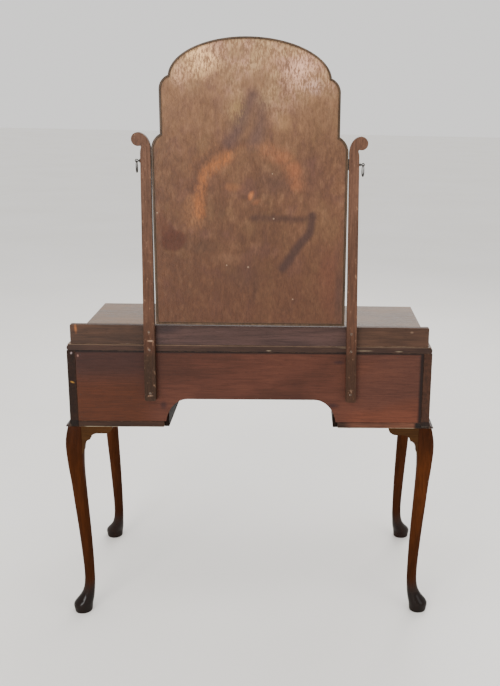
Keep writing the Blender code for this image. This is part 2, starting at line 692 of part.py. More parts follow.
def make_bail(word, x, z, slide):
    at = Vector((x, Y_FRONT - POST_OUT, z))
    swing = axis_empty("bail_axis_" + word, at, slide)
    reach = HANDLE_SPAN + BAIL_SWELL
    bend, foot_w, foot_h = 0.004, 0.016, 0.012       # upper bends and the wide lower ones
    half = [(HANDLE_SPAN - 0.0015, 0.0), (HANDLE_SPAN + 0.0035, 0.0)]
    half += arc(reach - bend, -bend, bend, bend, 75, 0, 3)
    half += arc(reach - foot_w, foot_h - BAIL_DROP, foot_w, foot_h, -15, -90, 5)
    path = half + mirrored(half)
    loops = []
    for i, (px, pz) in enumerate(path):
        before, after = path[max(0, i - 1)], path[min(len(path) - 1, i + 1)]
        way = Vector((after[0] - before[0], 0, after[1] - before[1])).normalized()
        normal = Vector((way.z, 0, -way.x))
        loops.append([at + Vector((px, 0, pz)) + BAIL_WIRE * (normal * cos(a * pi / 4)
                      + Vector((0, 1, 0)) * sin(a * pi / 4)) for a in range(8)])
    loft("bail_" + word, loops, at, "brass", swing, smooth=True)


# ---------------------------------------------------------------- assembly
def main():
    clear_scene()
    make_top()
    make_gallery()
    make_back_panel()
    make_ceiling()
    make_front_apron()
    for side, word in SIDES:
        make_pedestal(side, word)
        make_standard(side, word)
        for end in ("front", "rear"):
            make_leg(end, side, word)
            make_leg_brackets(end, side, word)
    make_mirror()
    inner, outer = WALL_IN + WALL_T, CARCASS_HALF_W - SIDE_T
    low, high = CARCASS_Z + BOTTOM_T, CEILING_Z + CEILING_T
    middle = (inner + outer) / 2
    make_drawer("right", inner, outer, low, [("right", middle)])
    make_drawer("left", -outer, -inner, low, [("left", -middle)])
    handles = [("centre_right", CENTRE_HANDLE_X), ("centre_left", -CENTRE_HANDLE_X)]
    make_drawer("centre", -WALL_IN, WALL_IN, high, handles)


main()
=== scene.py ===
"""Looks of the kneehole dressing table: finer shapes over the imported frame, and its finishes."""
import json
from math import acos, asin, cos, degrees, pi, radians, sin

import bmesh
import bpy
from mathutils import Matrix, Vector


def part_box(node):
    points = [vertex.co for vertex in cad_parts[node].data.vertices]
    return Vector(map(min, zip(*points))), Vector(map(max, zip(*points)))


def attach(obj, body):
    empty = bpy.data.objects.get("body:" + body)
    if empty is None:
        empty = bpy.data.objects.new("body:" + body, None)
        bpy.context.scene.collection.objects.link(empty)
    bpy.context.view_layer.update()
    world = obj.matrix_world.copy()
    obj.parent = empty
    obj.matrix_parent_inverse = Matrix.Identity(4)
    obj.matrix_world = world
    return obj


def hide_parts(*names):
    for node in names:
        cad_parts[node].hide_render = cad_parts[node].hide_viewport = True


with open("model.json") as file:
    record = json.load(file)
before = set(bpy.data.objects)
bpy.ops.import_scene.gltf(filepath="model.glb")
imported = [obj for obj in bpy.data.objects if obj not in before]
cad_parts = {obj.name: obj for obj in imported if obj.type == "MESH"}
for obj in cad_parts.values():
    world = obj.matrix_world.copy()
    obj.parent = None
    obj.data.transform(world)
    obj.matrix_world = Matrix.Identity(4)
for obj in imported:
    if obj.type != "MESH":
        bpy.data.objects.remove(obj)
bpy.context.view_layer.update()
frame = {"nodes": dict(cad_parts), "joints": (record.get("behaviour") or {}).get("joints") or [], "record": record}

NODES = frame["nodes"]
JOINTS = {joint["name"]: joint for joint in frame["joints"]}
BODY_OF = {node: body for body, members in frame["record"]["behaviour"]["bodies"].items()
           for node in members}
SIDES = ((1, "right"), (-1, "left"))
ENDS = ("front", "rear")
DRAWERS = ("left", "centre", "right")


# ----- camera, light and floor
CAMERA_AT = (-0.1164, 2.4243, 1.3791)
CAMERA_TURN = (75.65, -1.23, 177.75)  # degrees
CAMERA_LENS, CAMERA_SENSOR = 47.2, 36  # millimetres
CAMERA_SHIFT = (-0.126, -0.0275)
MIDDLE, FEET = (0, 0.1, 0.9), (0, 0.2, 0.1)
# name, place, what it points at, size, watts, colour
LIGHTS = (("key", (1.3, 3.1, 2.9), MIDDLE, (1.5, 1.1), 55, (1, 0.95, 0.88)),
          ("fill", (-2.6, 2.2, 1.6), MIDDLE, (1.8, 2.2), 22, (0.96, 0.98, 1)),
          ("front", (-0.8, -2.9, 3.1), MIDDLE, (2.4, 1.4), 70, (1, 0.98, 0.95)),
          ("overhead", (0, 0.4, 3.6), MIDDLE, (2.6, 1.6), 30, (1, 1, 1)),
          ("window", (2.9, 6.6, 1), FEET, (3.4, 1.3), 150, (1, 1, 1)))
SKY, SKY_STRENGTH = (1, 0.985, 0.965, 1), 1.15
FLOOR_SIZE = 60
FLOOR_TONES = ((240, 238, 234), (245, 243, 240))


def make_camera():
    data = bpy.data.cameras.new("camera")
    data.lens, data.sensor_width = CAMERA_LENS, CAMERA_SENSOR
    data.shift_x, data.shift_y = CAMERA_SHIFT
    camera = bpy.data.objects.new("camera", data)
    camera.location = CAMERA_AT
    camera.rotation_euler = [radians(angle) for angle in CAMERA_TURN]
    bpy.context.collection.objects.link(camera)
    bpy.context.scene.camera = camera


def area_light(name, location, target, size, power, colour):
    data = bpy.data.lights.new(name, "AREA")
    data.shape = "RECTANGLE"
    data.size, data.size_y = size
    data.energy = power
    data.color = colour
    light = bpy.data.objects.new(name, data)
    light.location = location
    way = Vector(target) - Vector(location)
    light.rotation_euler = way.to_track_quat("-Z", "Y").to_euler()
    bpy.context.collection.objects.link(light)


def make_studio():
    world = bpy.data.worlds.new("studio")
    world.use_nodes = True
    background = world.node_tree.nodes["Background"]
    background.inputs["Color"].default_value = SKY
    background.inputs["Strength"].default_value = SKY_STRENGTH
    bpy.context.scene.world = world
    for row in LIGHTS:
        area_light(*row)
    bpy.ops.mesh.primitive_plane_add(size=FLOOR_SIZE, location=(0, 0, 0))
    floor = bpy.context.active_object
    floor.name = "floor"
    look = Look("floor_paint")
    cloud = look.noise(look.coords(), 1.2, 3, 0.5)
    dark, light = FLOOR_TONES
    look.value("Base Color", look.ramp(cloud, ((0.3, rgb(*dark)), (0.7, rgb(*light)))))
    look.value("Roughness", 0.55)
    floor.data.materials.append(look.material)


# ----- node helpers
def rgb(red, green, blue):
    """A display colour, 0 to 255, as linear values."""
    out = []
    for level in (red, green, blue):
        level /= 255
        out.append(level / 12.92 if level <= 0.04045 else ((level + 0.055) / 1.055) ** 2.4)
    return (*out, 1)


def dim(colour, factor):
    return (*(level * factor for level in colour[:3]), 1)


class Look:
    """A Principled material and short calls that add nodes to it."""

    def __init__(self, name):
        self.material = bpy.data.materials.new(name)
        self.material.use_nodes = True
        self.tree = self.material.node_tree
        self.shader = self.tree.nodes["Principled BSDF"]
        self.colour = None

    def node(self, kind, settings=None, inputs=None):
        made = self.tree.nodes.new("ShaderNode" + kind)
        for key, value in (settings or {}).items():
            setattr(made, key, value)
        for key, value in (inputs or {}).items():
            self.feed(made.inputs[key], value)
        return made

    def feed(self, socket, value):
        if isinstance(value, bpy.types.NodeSocket):
            self.tree.links.new(value, socket)
        else:
            socket.default_value = value

    def value(self, name, value):
        self.feed(self.shader.inputs[name], value)

    def coords(self):
        return self.node("TexCoord").outputs["Object"]

    def along(self, name):
        """The place on one axis of the object's frame, in metres."""
        return self.node("SeparateXYZ", None, {"Vector": self.coords()}).outputs[name]

    def mapped(self, vector, scale=(1, 1, 1), location=(0, 0, 0), rotation=(0, 0, 0), kind="POINT"):
        return self.node("Mapping", {"vector_type": kind},
                         {"Vector": vector, "Scale": scale, "Location": location,
                          "Rotation": rotation}).outputs["Vector"]

    def noise(self, vector, scale, detail, roughness, distortion=0, output="Fac"):
        return self.node("TexNoise", None,
                         {"Vector": vector, "Scale": scale, "Detail": detail,
                          "Roughness": roughness, "Distortion": distortion}).outputs[output]

    def cloud(self, place, scale, detail, roughness, location=(0, 0, 0), distortion=0):
        """Noise with its own scale on each axis."""
        return self.noise(self.mapped(place, scale, location), 1, detail, roughness, distortion)

    def math(self, operation, a, b=0, clamp=False):
        made = self.node("Math", {"operation": operation, "use_clamp": clamp})
        self.feed(made.inputs[0], a)
        self.feed(made.inputs[1], b)
        return made.outputs[0]

    def times(self, a, b):
        return self.math("MULTIPLY", a, b)

    def vector(self, operation, a, b=None, result="Vector"):
        made = self.node("VectorMath", {"operation": operation})
        self.feed(made.inputs[0], a)
        if b is not None:
            self.feed(made.inputs["Scale" if operation == "SCALE" else 1], b)
        return made.outputs[result]

    def span(self, value, low, high, out_low=0, out_high=1):
        """Smooth step of a value from low..high to out_low..out_high."""
        return self.node("MapRange", {"interpolation_type": "SMOOTHSTEP"},
                         {"Value": value, "From Min": low, "From Max": high,
                          "To Min": out_low, "To Max": out_high}).outputs["Result"]

    def ramp(self, value, stops):
        made = self.node("ValToRGB", None, {"Fac": value})
        for element, (place, colour) in zip(made.color_ramp.elements, stops):
            element.position = place
            element.color = colour
        return made.outputs["Color"]

    def mix(self, factor, a, b, blend="MIX"):
        made = self.node("Mix", {"data_type": "RGBA", "blend_type": blend})
        self.feed(made.inputs["Factor"], factor)
        self.feed(made.inputs[6], a)
        self.feed(made.inputs[7], b)
        return made.outputs[2]

    def tint(self, shade, mask, strength=1):
        """Turns the colour towards a shade, 0 to 255, where the mask is 1."""
        self.colour = self.mix(self.times(mask, strength), self.colour, rgb(*shade))

    def wash(self, *rows):
        """Tints that grow to their strength as a value goes from low to high."""
        for value, low, high, strength, shade in rows:
            self.tint(shade, self.span(value, low, high, 0, strength))

    def blot(self, rows, reach=1):
        """Tints in the spots of the rows, where reach is 1."""
        for x, z, wide, tall, strength, shade, *edge in rows:
            self.tint(shade, self.times(self.spot(x, z, wide, tall, *edge), reach), strength)

    def spot(self, x, z, wide, tall, turn=0, soft=0.9, ragged=0.9):
        """1 inside an ellipse, in millimetres and degrees, fading out to its edge."""
        place = self.mapped(self.coords(), (wide / 1000, 100, tall / 1000), (x / 1000, 0, z / 1000),
                            (0, radians(turn), 0), "TEXTURE")
        reach = self.vector("LENGTH", place, result="Value")
        if ragged:
            edge = self.noise(self.mapped(self.coords(), (1, 1, 0.45)), 55, 4, 0.6)
            reach = self.math("ADD", reach, self.times(self.math("SUBTRACT", edge, 0.5), ragged))
        return self.span(reach, 1, 1 - soft)

    def jittered(self, amount):
        """The place on the XZ plane, shaken by a noise of this size in metres."""
        place = self.coords()
        shake = self.noise(place, 15, 2, 0.5, output="Color")
        shake = self.vector("SUBTRACT", shake, (0.5, 0.5, 0.5))
        place = self.vector("ADD", place, self.vector("SCALE", shake, amount))
        return self.vector("MULTIPLY", place, (1, 0, 1))

    def stroke(self, place, points, half_width, soft):
        """1 along (x, z) points in millimetres, fading out to the half width."""
        nearest = None
        for (x0, z0), (x1, z1) in zip(points, points[1:]):
            start, way = Vector((x0, 0, z0)) / 1000, Vector((x1 - x0, 0, z1 - z0)) / 1000
            off = self.vector("SUBTRACT", place, start)
            share = self.vector("DOT_PRODUCT", off, way / way.length_squared, "Value")
            share = self.math("ADD", share, 0, clamp=True)
            away = self.vector("DISTANCE", off, self.vector("SCALE", way, share), "Value")
            nearest = away if nearest is None else self.math("MINIMUM", nearest, away)
        return self.span(nearest, half_width / 1000, half_width / 1000 * (1 - soft))

    def bump(self, height, distance):
        made = self.node("Bump", None, {"Height": height, "Distance": distance, "Strength": 1})
        self.value("Normal", made.outputs["Normal"])

    def worn_edge(self, radius):
        """1 along convex edges, 0 on flat faces, from a rounded and a plain normal."""
        bevel = self.node("Bevel", {"samples": 6}, {"Radius": radius})
        plain = self.node("NewGeometry").outputs["Normal"]
        dot = self.vector("DOT_PRODUCT", bevel.outputs["Normal"], plain, "Value")
        return self.span(dot, 0.995, 0.8)


# ----- woods
FIGURE, STREAK = (110, 8), (420, 16)  # noise scales across and along the grain
CLOUDS, PORES = (7, 3.5), (1100, 60)
WEAR_COLOUR = (0.2, 0.11, 0.06, 1)
WEAR_RADIUS = 0.0016


def stretched(across, along, grain):
    return tuple(along if axis == grain else across for axis in "xyz")


def wood(name, grain, shade, spread, roughness, coat, shine, seed, wear=0,
         wear_colour=WEAR_COLOUR, figure=FIGURE, streak=STREAK, pores=0.35, blotch=0.25,
         relief=0.00025, paint=None, sheen=0.12):
    """Figured wood of a shade from 0 to 255; paint adds the marks of one board."""
    look = Look(name)
    mid = rgb(*shade)
    place = look.mapped(look.coords(), location=(seed, seed * 0.7, seed * 1.3))
    broad = look.cloud(place, stretched(*figure, grain), 5, 0.55, distortion=0.4)
    fine = look.cloud(place, stretched(*streak, grain), 4, 0.6)
    clouds = look.cloud(place, stretched(*CLOUDS, grain), 4, 0.55)
    look.colour = look.mix(look.span(clouds, 0.35, 0.65), dim(mid, 1 - blotch),
                           dim(mid, 1 + blotch))
    if paint:
        paint(look)
    tone = look.math("ADD", look.times(broad, 0.5), look.times(fine, 0.5))
    level = look.span(tone, 0.36, 0.64, 1 - spread, 1 + spread * 1.1)
    grey = look.node("CombineColor", None,
                     {"Red": level, "Green": level, "Blue": level}).outputs["Color"]
    colour = look.mix(1, look.colour, grey, "MULTIPLY")
    pore = look.span(look.cloud(place, stretched(*PORES, grain), 2, 0.5), 0.58, 0.7)
    colour = look.mix(look.times(pore, pores), colour, dim(mid, 0.35))
    if wear:
        patch = look.span(look.noise(place, 60, 4, 0.65), 0.42, 0.62)
        edge = look.times(look.times(look.worn_edge(WEAR_RADIUS), patch), wear)
        colour = look.mix(edge, colour, wear_colour)
    look.value("Base Color", colour)
    look.value("Roughness", look.span(look.math("ADD", clouds, fine), 0.7, 1.3,
                                      roughness - 0.07, roughness + 0.09))
    look.value("Specular IOR Level", shine)
    look.value("Coat Weight", coat(look) if callable(coat) else coat)
    look.value("Coat Roughness", sheen)
    look.bump(look.math("SUBTRACT", fine, look.times(pore, 0.8)), relief)
    return look.material


# Marks on the rear faces, in millimetres of the XZ plane. A spot: x, z, radii along both,
# strength, shade, then turn in degrees, softness and raggedness of its edge.
MIRROR_STAINS = (
    (-20, 1280, 26, 40, 0.45, (88, 62, 52)), (-60, 1170, 65, 45, 0.45, (74, 52, 44)),
    (-150, 1185, 60, 100, 0.35, (84, 56, 46), 8), (-1, 1138, 9, 16, 0.85, (158, 92, 48), -24),
    (-14, 1122, 18, 10, 0.5, (118, 72, 46), 20, 0.9, 0.8),
    (16, 1134, 18, 8, 0.55, (66, 42, 32), 0, 0.9, 0.6),
    (43, 1157, 34, 14, 0.45, (124, 78, 48), 0, 0.9, 0.8),
    (-75, 1310, 34, 30, 0.5, (140, 104, 70), 0, 0.9, 0.8),
    (-118, 1300, 16, 16, 0.4, (136, 98, 68), 0, 0.9, 0.8),
    (-75, 1230, 34, 18, 0.5, (124, 74, 48), 10), (-105, 1200, 26, 26, 0.55, (128, 74, 46)),
    (-108, 1165, 18, 28, 0.45, (122, 74, 48)),
    (186, 1026, 37, 30, 0.8, (68, 36, 24), 18, 0.35, 0.35),
    (200, 1044, 22, 28, 0.65, (68, 37, 25), 0, 0.5, 0.35),
    (212, 1070, 18, 36, 0.65, (80, 48, 33), 14, 0.9, 0.6),
    (120, 1012, 60, 22, 0.45, (68, 46, 33), 0, 0.9, 0.8),
    (-12, 905, 14, 44, 0.5, (60, 38, 29), -10), (20, 940, 60, 50, 0.35, (64, 43, 35)),
    (55, 985, 50, 22, 0.4, (112, 80, 58)), (-190, 930, 40, 120, 0.45, (88, 50, 37)),
    (-218, 900, 16, 110, 0.55, (62, 42, 36), 0, 0.9, 0.6),
)
# A stroke: points, half width, softness, shade, strength, whether the grain flecks it.
MIRROR_STROKES = (
    (((137, 1075), (138, 1137), (121, 1192), (98, 1220), (47, 1253)),
     40, 1, (126, 84, 54), 0.75, True),
    (((124, 1095), (121, 1151), (106, 1190), (77, 1214), (55, 1232)),
     24, 1, (148, 85, 42), 0.74, True),
    (((47, 1257), (10, 1258), (-45, 1252), (-90, 1225)), 14, 1, (132, 88, 56), 0.55, True),
    (((-40, 1245), (-75, 1232), (-100, 1205), (-112, 1165)), 32, 1, (130, 80, 52), 0.68, True),
    (((142, 1150), (122, 1205), (90, 1236), (60, 1254), (20, 1262)),
     21, 1, (66, 43, 34), 0.6, False),
    (((-9, 1375), (19, 1321), (51, 1262)), 30, 1, (76, 55, 50), 0.8, False),
    (((-30, 1350), (-22, 1300), (-6, 1262)), 30, 1, (78, 57, 52), 0.6, False),
    (((-10, 1084), (-65, 1083), (-102, 1082), (-128, 1085)), 15, 1, (64, 42, 33), 0.8, False),
    (((-148, 1090), (-144, 1052), (-113, 1008), (-78, 963)), 17, 0.8, (56, 37, 33), 0.85, False),
)
PALE_SPECKS = [(x, z, size, size, 0.45, (176, 150, 124), 0, 0.8, 0) for x, z, size in (
    (224, 1093, 3), (6, 963, 3.4), (-104, 883.6, 2.6), (-52.6, 1190.8, 2.4),
    (58.3, 967.1, 2.6), (-56, 1083, 3))]
# Patches near the top of the board: the light ones are painted glare, the others darker tone among them.
GLARE_PATCHES = [(*patch, 0, 1, 0.8) for patch in (
    (112, 1455, 62, 56, 1, (236, 188, 132)), (165, 1415, 30, 40, 0.7, (206, 160, 122)),
    (-120, 1430, 54, 56, 0.9, (218, 170, 142)), (-150, 1395, 34, 30, 0.7, (196, 156, 140)),
    (20, 1468, 60, 26, 0.7, (128, 98, 66)), (-50, 1450, 44, 30, 0.6, (150, 112, 84)),
    (100, 1350, 85, 44, 0.7, (96, 66, 48)), (170, 1330, 40, 40, 0.6, (100, 70, 54)),
    (-10, 1405, 70, 30, 0.65, (112, 82, 62)), (30, 1340, 30, 50, 0.55, (146, 116, 72)),
    (-110, 1350, 70, 34, 0.55, (122, 88, 66)))]
PANEL_SPOTS = [(*place, 0.7, (38, 22, 24), 0, 0.9, 0.6) for place in (
    (-208, 600, 24, 10), (-222, 716, 26, 8), (223, 598, 14, 16), (203, 560, 10, 20))]
PANEL_NICK = ((434.5, 728, 3.5, 5.5, 0.55, (150, 112, 100), 0, 0.7, 0.5),)
SLAB_CHIPS = [(*place, 0.5, (150, 134, 110), 0, 0.8, 0.7) for place in (
    (-285, 747.5, 34, 1.8), (-375, 746.5, 14, 1.8), (-45, 745.5, 9, 2.2), (-225, 758.5, 20, 1.5),
    (-238, 754.5, 22, 1))]
GALLERY_CHIPS = ((436.8, 798, 5, 18, 0.7, (140, 84, 44), 4, 0.9, 0.7),
                 (-407, 797, 6, 4, 0.35, (132, 108, 88), 0, 0.8, 0.6))
GALLERY_SHADOW = ((205, 800, 50, 18, 0.55, (34, 24, 28), 0, 0.9, 0),)
STANDARD_RUBS = [(*place, (168, 138, 116), 0, 0.9, 0.7) for place in (
    (252.8, 795.5, 4.6, 5.2, 0.75), (250, 772.7, 10, 3.6, 0.7), (251.6, 629, 7, 4, 0.4),
    (-254.1, 647, 10, 2, 0.12), (-254.8, 645, 2, 10, 0.12))]
STILE_DOTS = ((450.5, 734.5, 3.6, 4.6, 0.8, (150, 134, 134), -20, 0.8, 0.6),
              (451.8, 658, 8, 3.5, 0.8, (140, 100, 40), -20, 0.8, 0.6))


def plywood_stains(look):
    """Rust marks, smears and spots on the stained plywood, and painted glare that lightens its top."""
    place, high = look.coords(), look.along("Z")
    hue = look.cloud(place, (16, 16, 11), 4, 0.6, (3.1, 0, 7.7))
    # The first row lightens the board towards its top: painted glare.
    look.wash((high, 1.16, 1.44, 0.5, (142, 106, 76)), (hue, 0.52, 0.64, 0.3, (108, 80, 52)),
              (hue, 0.48, 0.34, 0.4, (86, 56, 50)), (high, 1.15, 0.84, 0.7, (72, 43, 28)))
    mottle = look.cloud(place, (60, 60, 34), 4, 0.6, (5.3, 0, 1.9))
    reach = look.span(high, 0.94, 1.16, 0.4, 1)
    look.tint((138, 100, 72), look.span(mottle, 0.46, 0.8, 0, 0.36), reach)
    look.tint((62, 40, 34), look.span(mottle, 0.52, 0.24, 0, 0.36), reach)
    look.blot(MIRROR_STAINS)
    shaken = look.jittered(0.012)
    streaks = look.cloud(place, (230, 230, 85), 6, 0.75)
    fleck = look.times(look.span(streaks, 0.4, 0.6, 0.3, 1), look.span(hue, 0.36, 0.56, 0.6, 1))
    for points, half, soft, shade, strength, flecked in MIRROR_STROKES:
        mask = look.stroke(shaken, points, half, soft)
        look.tint(shade, look.times(mask, fleck) if flecked else mask, strength)
    look.blot(PALE_SPECKS)
    patches = look.cloud(place, (15, 15, 11), 3, 0.5, (1.7, 0, 2.9))
    # Painted glare: pale streaky colour and patches lighten the top of the board.
    level = look.math("ADD", high, look.times(look.math("SUBTRACT", patches, 0.5), 0.36))
    painted_glare = look.times(look.span(level, 1.32, 1.52), look.span(streaks, 0.42, 0.58, 0.1, 0.85))
    pale = look.mix(look.span(hue, 0.4, 0.55), rgb(186, 142, 118), rgb(176, 142, 104))
    look.colour = look.mix(painted_glare, look.colour, pale)
    look.blot(GLARE_PATCHES, look.span(streaks, 0.42, 0.57, 0.1, 1))
    look.tint((64, 53, 41), look.worn_edge(0.009), 0.65)


def panel_tones(look):
    """The back panel is darker under the top, with a painted shadow line right under it and a dark joint line by
    the stile, and redder at the lower edge.
    """
    x, high = look.along("X"), look.along("Z")
    cloud = look.cloud(look.coords(), (3.5, 3.5, 9), 3, 0.5)
    left = look.span(x, 0.22, 0.3)
    for mask, strength, shade in (
            (look.times(left, look.span(high, 0.655, 0.715)), 0.6, (42, 25, 24)),
            (look.times(left, look.span(high, 0.69, 0.63)), 0.75, (66, 32, 14)),
            (look.times(look.span(high, 0.64, 0.56), look.span(x, -0.2, -0.28)), 0.6, (98, 50, 33)),
            (look.span(x, -0.16, -0.3), 0.4, (86, 50, 37)),
            (look.times(look.span(x, -0.2, -0.3), look.span(cloud, 0.4, 0.55)), 0.35,
             (66, 42, 36))):
        look.tint(shade, mask, strength)
    look.blot(PANEL_SPOTS)
    # A painted shadow line right under the top, and a dark joint line along the stile.
    shadow_and_joint_line = look.math("MAXIMUM", look.span(high, 0.7345, 0.74), look.span(x, -0.428, -0.436))
    look.tint((16, 9, 8), shadow_and_joint_line, 0.92)
    look.blot(PANEL_NICK)


def scuffs(look, low, high, amount, shade=(150, 130, 104), cover=0.6):
    """Pale rubbed dashes between two heights of the rear face, sparse and level."""
    dashes = look.cloud(look.coords(), (22, 22, 260), 5, 0.7)
    z = look.along("Z")
    zone = look.times(look.span(z, low, low + 0.0015), look.span(z, high, high - 0.0015))
    zone = look.times(zone, look.span(look.along("Y"), 0.219, 0.2215))
    look.tint(shade, look.times(look.span(dashes, cover, cover + 0.08), zone), amount)


def slab_marks(look):
    """Chips along the rear edge of the top, a painted highlight line along its upper edge and a painted shade line
    along its lower one.
    """
    z, rear = look.along("Z"), look.span(look.along("Y"), 0.222, 0.228)
    # A painted highlight along the upper rear edge.
    look.tint((112, 92, 74), look.times(look.span(z, 0.755, 0.7575), rear), 0.45)
    # A painted shade line along the lower rear edge.
    look.tint((20, 13, 11), look.times(look.span(z, 0.744, 0.742), rear), 0.8)
    look.blot(SLAB_CHIPS, rear)


def gallery_marks(look):
    """Purple-brown between the standards, a chip at one end and a rubbed foot line."""
    scuffs(look, 0.7583, 0.7615, 0.45, (120, 98, 78), 0.5)
    scuffs(look, 0.806, 0.809, 0.6)
    look.blot(GALLERY_CHIPS)
    look.wash((look.math("ABSOLUTE", look.along("X")), 0.252, 0.238, 0.6, (64, 46, 46)))
    look.blot(GALLERY_SHADOW)


def standard_tones(look):
    """The lower end is darker and greener, with a few pale rubbed marks."""
    x, z = look.along("X"), look.along("Z")
    mottle = look.cloud(look.coords(), (130, 130, 60), 5, 0.65)
    look.wash((z, 1.12, 0.9, 0.55, (64, 39, 26)), (z, 0.84, 0.75, 0.6, (52, 28, 16)))
    look.tint((66, 44, 34), look.span(z, 0.9, 1.05), look.span(x, 0.1, -0.1, 0, 0.22))
    look.tint((45, 29, 18), look.span(z, 0.755, 0.725), look.span(x, -0.1, 0.1, 0.62, 0.97))
    look.wash((mottle, 0.54, 0.66, 0.5, (62, 42, 34)), (mottle, 0.42, 0.3, 0.45, (150, 116, 92)))
    look.blot(STANDARD_RUBS)


def stile_marks(look):
    """The ends are redder than their rear edges, which carry dots, a nick and a black foot."""
    z, y = look.along("Z"), look.along("Y")
    look.wash((y, 0.219, 0.215, 0.88, (72, 37, 22)))
    rear = look.span(y, 0.217, 0.219)
    look.tint((17, 12, 10), look.times(look.span(z, 0.5575, 0.5545), rear), 0.8)
    scuffs(look, 0.537, 0.544, 0.5, (150, 140, 120), 0.54)
    look.blot(STILE_DOTS, rear)


def end_polish(look):
    """The ends are polished, their rear edges are dull."""
    return look.span(look.along("Y"), 0.219, 0.215, 0.04, 0.22)


def leg_tones(look):
    """Darker towards the feet and the knees, and the front legs darker all over."""
    z = look.along("Z")
    look.wash((z, 0.32, 0.09, 0.38, (30, 15, 8)), (z, 0.105, 0.045, 0.92, (11, 6, 4)),
              (z, 0.4, 0.53, 0.7, (34, 16, 9)), (look.along("Y"), -0.1, -0.16, 0.35, (34, 15, 7)))


def leg_polish(look):
    """The feet still carry thick polish."""
    return look.span(look.along("Z"), 0.105, 0.06, 0.07, 0.34)


def strip_marks(look):
    """Lighter and redder on one side; a rubbed line follows the lower rear edge."""
    z, x = look.along("Z"), look.along("X")
    look.wash((x, -0.235, -0.265, 1, (84, 50, 36)), (x, -0.419, -0.429, 1, (20, 13, 11)))
    scuffs(look, 0.5375, 0.5402, 0.8, (170, 158, 132), 0.4)
    look.wash((z, 0.5515, 0.5535, 0.6, (22, 13, 12)))


# ----- metals and glass
def metal(name, dark, light, roughness, metallic=1):
    look = Look(name)
    place = look.coords()
    fine = look.noise(place, 900, 3, 0.6)
    tone = look.math("ADD", look.times(look.noise(place, 180, 5, 0.6), 0.7), look.times(fine, 0.3))
    look.value("Base Color", look.ramp(tone, ((0.35, rgb(*dark)), (0.65, rgb(*light)))))
    look.value("Metallic", metallic)
    look.value("Roughness", look.span(tone, 0.3, 0.7, roughness + 0.14, roughness - 0.06))
    look.bump(fine, 0.00008)
    return look.material


def silvered_glass():
    """A silvered sheet with faint spots of foxing towards its edge."""
    look = Look("silvered_glass")
    spots = look.span(look.noise(look.coords(), 90, 4, 0.7), 0.66, 0.74)
    edge = look.math("MAXIMUM", look.span(look.math("ABSOLUTE", look.along("X")), 0.195, 0.232),
                     look.span(look.along("Z"), 0.86, 0.81))
    mask = look.times(spots, edge)
    look.value("Base Color", look.mix(mask, rgb(228, 234, 233), rgb(96, 82, 66)))
    look.value("Metallic", 1)
    look.value("Roughness", look.span(mask, 0, 1, 0.03, 0.45))
    return look.material


# ----- mesh helpers
def piece(name, bm, material, node=None, body=None, sharp=35):
    """A finished object from a bmesh in frame coordinates; it may stand for a CAD node."""
    bmesh.ops.recalc_face_normals(bm, faces=bm.faces)
    mesh = bpy.data.meshes.new(name)
    bm.to_mesh(mesh)
    bm.free()
    mesh.materials.append(material)
    mesh.shade_smooth()
    mesh.set_sharp_from_angle(angle=radians(sharp))
    obj = bpy.data.objects.new(name, mesh)
    bpy.context.collection.objects.link(obj)
    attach(obj, body or BODY_OF[node])
    if node:
        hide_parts(node)
    return obj


def skin(bm, loops, cap=True, closed=False):
    """Quads between equal loops of points, with end caps or joined last to first."""
    rings = [[bm.verts.new(point) for point in loop] for loop in loops]
    pairs = list(zip(rings, rings[1:]))
    if closed:
        pairs.append((rings[-1], rings[0]))
    for low, high in pairs:
        for i in range(len(low)):
            j = (i + 1) % len(low)
            bm.faces.new((low[i], low[j], high[j], high[i]))
    if cap:
        bm.faces.new(rings[0])
        bm.faces.new(rings[-1])


def lofted(loops, cap=True, closed=False):
    bm = bmesh.new()
    skin(bm, loops, cap, closed)
    return bm


def ease(obj, width):
    bevel = obj.modifiers.new("eased_edges", "BEVEL")
    bevel.width = width
    bevel.segments = 3
    bevel.limit_method = "ANGLE"
    bevel.angle_limit = radians(40)
    bevel.harden_normals = True


def arc(cx, cz, a, b, start, stop, steps):
    turns = [radians(start + (stop - start) * k / steps) for k in range(steps + 1)]
    return [(cx + a * cos(t), cz + b * sin(t)) for t in turns]


def circle(centre, across, other, radius, sides):
    return [centre + radius * (across * cos(2 * pi * k / sides) + other * sin(2 * pi * k / sides))
            for k in range(sides)]


def mirrored(points):
    return [(-x, z) for x, z in reversed(points)]


def turned(centre, axis, profile, sides):
    """Loops of a turned piece: (distance along axis, radius) pairs about centre."""
    axis = Vector(axis).normalized()
    across = axis.orthogonal().normalized()
    other = axis.cross(across)
    return [circle(Vector(centre) + axis * along, across, other, radius, sides)
            for along, radius in profile]


def tube(path, radii, sides, closed=False):
    """Loops of a round rod along a path of points, with a radius for each."""
    count = len(path)
    loops = []
    side = None
    for i, point in enumerate(path):
        before = path[(i - 1) % count] if closed or i else point
        after = path[(i + 1) % count] if closed or i < count - 1 else point
        way = (after - before).normalized()
        side = way.orthogonal() if side is None else side - way * side.dot(way)
        side.normalize()
        loops.append(circle(point, side, way.cross(side), radii[i], sides))
    return loops


# ----- legs and brackets
LEG_SIDES = 64
LEG_STEPS = 5  # in-between rings for each ring of the frame's leg
LEG_ROUND_Z = 0.16  # below this height a leg is round
LEG_SQUARE = 0.38  # share of roundness lost from there to the top
BRACKET_FLAT = 0.0198  # height of a bracket's level stretch
BRACKET_TIP = 0.0035  # width at the foot of the lower hollow
BRACKET_ROOT = 0.006  # how far it runs on into the leg's rounded corner
BRACKET_TAIL = 0.01  # how far its foot tapers out along the leg
BRACKET_STEP = 0.0198  # from the leg to the point between the two hollows
BRACKET_RUN = 0.02  # width and height of the upper hollow
BRACKET_RISE = 0.0172
BRACKET_PROUD = 0.0012  # in front of the frame's bracket, towards the leg's face
BRACKET_EASE = 0.0014


